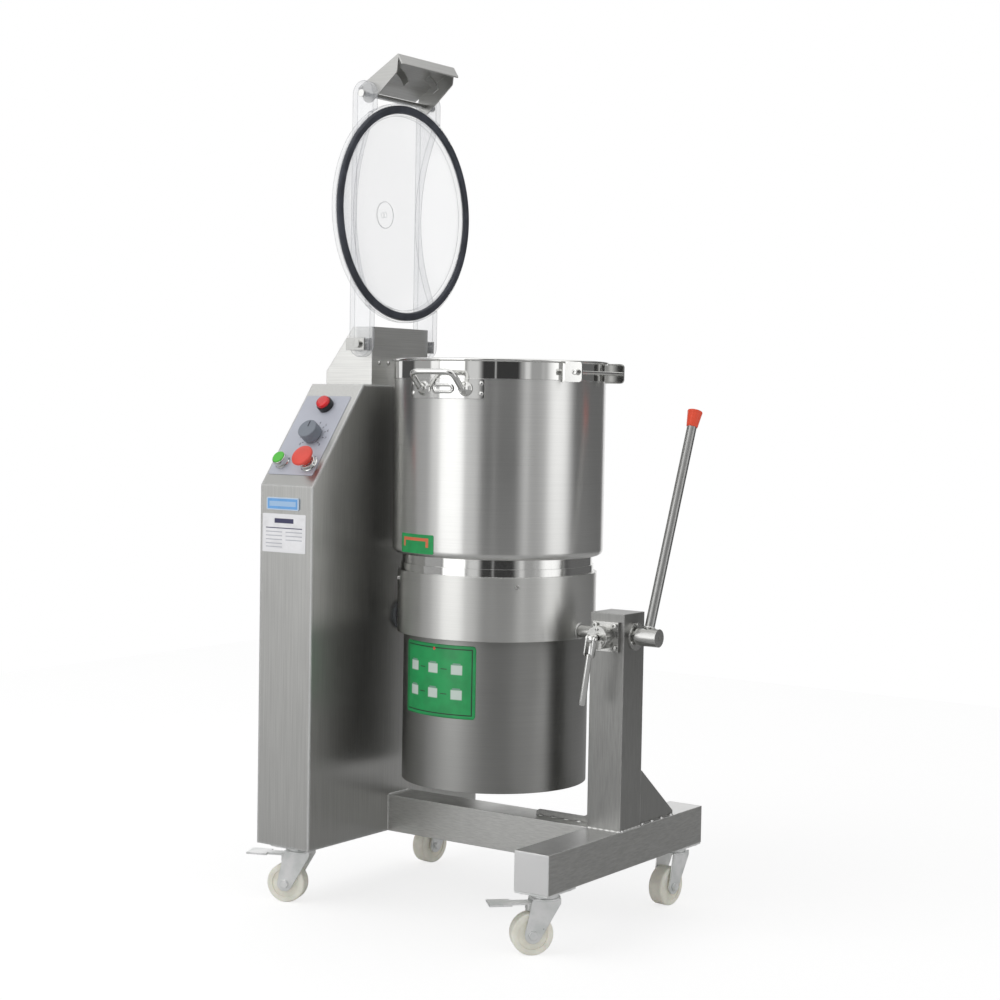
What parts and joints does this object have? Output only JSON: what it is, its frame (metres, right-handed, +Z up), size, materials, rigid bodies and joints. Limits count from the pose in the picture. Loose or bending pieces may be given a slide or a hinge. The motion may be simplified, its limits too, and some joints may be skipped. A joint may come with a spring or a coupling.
{
  "type": "bowl cutter",
  "caption": "Tilting bowl cutter for food: clear hinged lid, lift-out bowl with blades over a motor, sloped control cabinet and a wheeled frame.",
  "frame": {"origin": "middle of the bounding box's footprint, on the floor", "axes": "+Z up, -Y toward the front with the control panel, +X toward the post and the tilt lever; the tilt axis runs along X and the bowl axis is vertical at rest"},
  "size_m": [0.6364, 0.5004, 1.3701],
  "materials": {
    "stainless": "brushed",
    "bright_stainless": "satin",
    "zinc": "zinc plated, bright",
    "cast": "as cast, painted",
    "clear": "clear, polished",
    "black_rubber": "matte",
    "overlay": "satin",
    "red_plastic": "glossy",
    "green_plastic": "glossy",
    "grey_plastic": "matte",
    "nylon": "satin",
    "laminations": "laminated sheet",
    "winding": "enamelled wire"
  },
  "bodies": {
    "frame": {"cabinet": "stainless", "cabinet_covers": "stainless", "hinge_housing": "stainless", "cross_beam": "stainless", "side_beam": "stainless", "post": "stainless", "gussets": "stainless", "caster_plates": "zinc", "left_bearing": "cast", "post_bushes": "bright_stainless", "lock_body": "bright_stainless", "hinge_brackets": "bright_stainless", "speed_drive": "grey_plastic", "panel_plates": "overlay", "pilot_lamp": "red_plastic", "control_bases": "bright_stainless", "cable_gland": "black_rubber", "frame_screws": "bright_stainless"},
    "lid": {"lid_dome": "clear", "lid_gasket": "black_rubber", "lid_arms": "clear", "latch_rod": "bright_stainless"},
    "latch": {"latch_hood": "stainless"},
    "tilt": {"collar": "stainless", "motor_housing": "stainless", "motor_frame": "cast", "motor_stator": "winding", "motor_bearings": "bright_stainless", "shaft_seal": "black_rubber", "bowl_seat": "bright_stainless", "trunnion_shafts": "bright_stainless", "lever_hub": "stainless", "tilt_lever": "bright_stainless", "lever_cap": "red_plastic", "collar_screws": "bright_stainless"},
    "rotor": {"rotor_core": "laminations", "rotor_shaft": "bright_stainless"},
    "bowl": {"bowl_shell": "bright_stainless", "handle_plates": "bright_stainless", "handle_loops": "bright_stainless", "catch_ears": "bright_stainless", "catch_rod": "bright_stainless", "bowl_rivets": "bright_stainless"},
    "blade": {"blade_hub": "bright_stainless", "blades": "bright_stainless", "blade_nut": "bright_stainless"},
    "lock": {"lock_handle": "bright_stainless"},
    "knob": {"speed_knob": "grey_plastic"},
    "stop": {"stop_button": "red_plastic"},
    "start": {"start_button": "green_plastic"},
    "caster_fl": {"fork_front_left": "zinc"},
    "caster_fr": {"fork_front_right": "zinc"},
    "caster_rl": {"fork_rear_left": "zinc"},
    "caster_rr": {"fork_rear_right": "zinc"},
    "wheel_fl": {"wheel_front_left": "nylon"},
    "wheel_fr": {"wheel_front_right": "nylon"},
    "wheel_rl": {"wheel_rear_left": "nylon"},
    "wheel_rr": {"wheel_rear_right": "nylon"},
    "pedal_left": {"brake_pedal_left": "zinc"},
    "pedal_right": {"brake_pedal_right": "zinc"}
  },
  "joints": [
    {"name": "lid_swing", "type": "hinge", "parent": "frame", "child": "lid", "pos_m": [-0.20331, 0.01267, 0.904], "axis": [0, 1, 0], "range_deg": [0, 90]},
    {"name": "latch_swing", "type": "hinge", "parent": "lid", "child": "latch", "pos_m": [-0.20331, 0.01267, 1.309], "axis": [0, -1, 0], "range_deg": [-31, 80]},
    {"name": "bowl_tilt", "type": "hinge", "parent": "frame", "child": "tilt", "pos_m": [0.01469, 0.01267, 0.457], "axis": [1, 0, 0], "range_deg": [0, 100]},
    {"name": "rotor_spin", "type": "hinge", "parent": "tilt", "child": "rotor", "pos_m": [0.01469, 0.01267, 0.457], "axis": [0, 0, 1], "continuous": true},
    {"name": "bowl_lift", "type": "slide", "parent": "tilt", "child": "bowl", "axis": [0, 0, 1], "range_m": [0, 0.06]},
    {"name": "blade_spin", "type": "hinge", "parent": "bowl", "child": "blade", "pos_m": [0.01469, 0.01267, 0.6], "axis": [0, 0, 1], "continuous": true},
    {"name": "lock_turn", "type": "hinge", "parent": "frame", "child": "lock", "pos_m": [0.24369, -0.05333, 0.457], "axis": [0, 1, 0], "range_deg": [-60, 25]},
    {"name": "knob_turn", "type": "hinge", "parent": "frame", "child": "knob", "pos_m": [-0.22681, -0.1618, 0.75323], "axis": [0, -0.7982, 0.6023], "range_deg": [0, 270]},
    {"name": "stop_push", "type": "slide", "parent": "frame", "child": "stop", "axis": [0, 0.7982, -0.6023], "range_m": [0, 0.006]},
    {"name": "start_push", "type": "slide", "parent": "frame", "child": "start", "axis": [0, 0.7982, -0.6023], "range_m": [0, 0.003], "stiffness_N_per_m": 600},
    {"name": "swivel_fl", "type": "hinge", "parent": "frame", "child": "caster_fl", "pos_m": [-0.23181, -0.17733, 0.08], "axis": [0, 0, 1], "continuous": true},
    {"name": "roll_fl", "type": "hinge", "parent": "caster_fl", "child": "wheel_fl", "pos_m": [-0.25048, -0.1845, 0.0315], "axis": [0.3584, -0.9336, 0], "continuous": true},
    {"name": "brake_left", "type": "hinge", "parent": "caster_fl", "child": "pedal_left", "pos_m": [-0.24488, -0.18235, 0.07705], "axis": [0.3584, -0.9336, 0], "range_deg": [0, 12]},
    {"name": "swivel_fr", "type": "hinge", "parent": "frame", "child": "caster_fr", "pos_m": [0.24369, -0.17733, 0.08], "axis": [0, 0, 1], "continuous": true},
    {"name": "roll_fr", "type": "hinge", "parent": "caster_fr", "child": "wheel_fr", "pos_m": [0.22955, -0.19148, 0.0315], "axis": [0.7071, -0.7071, 0], "continuous": true},
    {"name": "brake_right", "type": "hinge", "parent": "caster_fr", "child": "pedal_right", "pos_m": [0.23379, -0.18723, 0.07705], "axis": [0.7071, -0.7071, 0], "range_deg": [0, 12]},
    {"name": "swivel_rl", "type": "hinge", "parent": "frame", "child": "caster_rl", "pos_m": [-0.23181, 0.19617, 0.08], "axis": [0, 0, 1], "continuous": true},
    {"name": "roll_rl", "type": "hinge", "parent": "caster_rl", "child": "wheel_rl", "pos_m": [-0.23459, 0.17636, 0.0315], "axis": [0.9903, -0.1392, 0], "continuous": true},
    {"name": "swivel_rr", "type": "hinge", "parent": "frame", "child": "caster_rr", "pos_m": [0.24369, 0.20267, 0.08], "axis": [0, 0, 1], "continuous": true},
    {"name": "roll_rr", "type": "hinge", "parent": "caster_rr", "child": "wheel_rr", "pos_m": [0.24195, 0.18274, 0.0315], "axis": [0.9962, -0.0872, 0], "continuous": true}
  ],
  "couplings": [
    {"joint": "blade_spin", "follows": "rotor_spin", "ratio": 1}
  ]
}
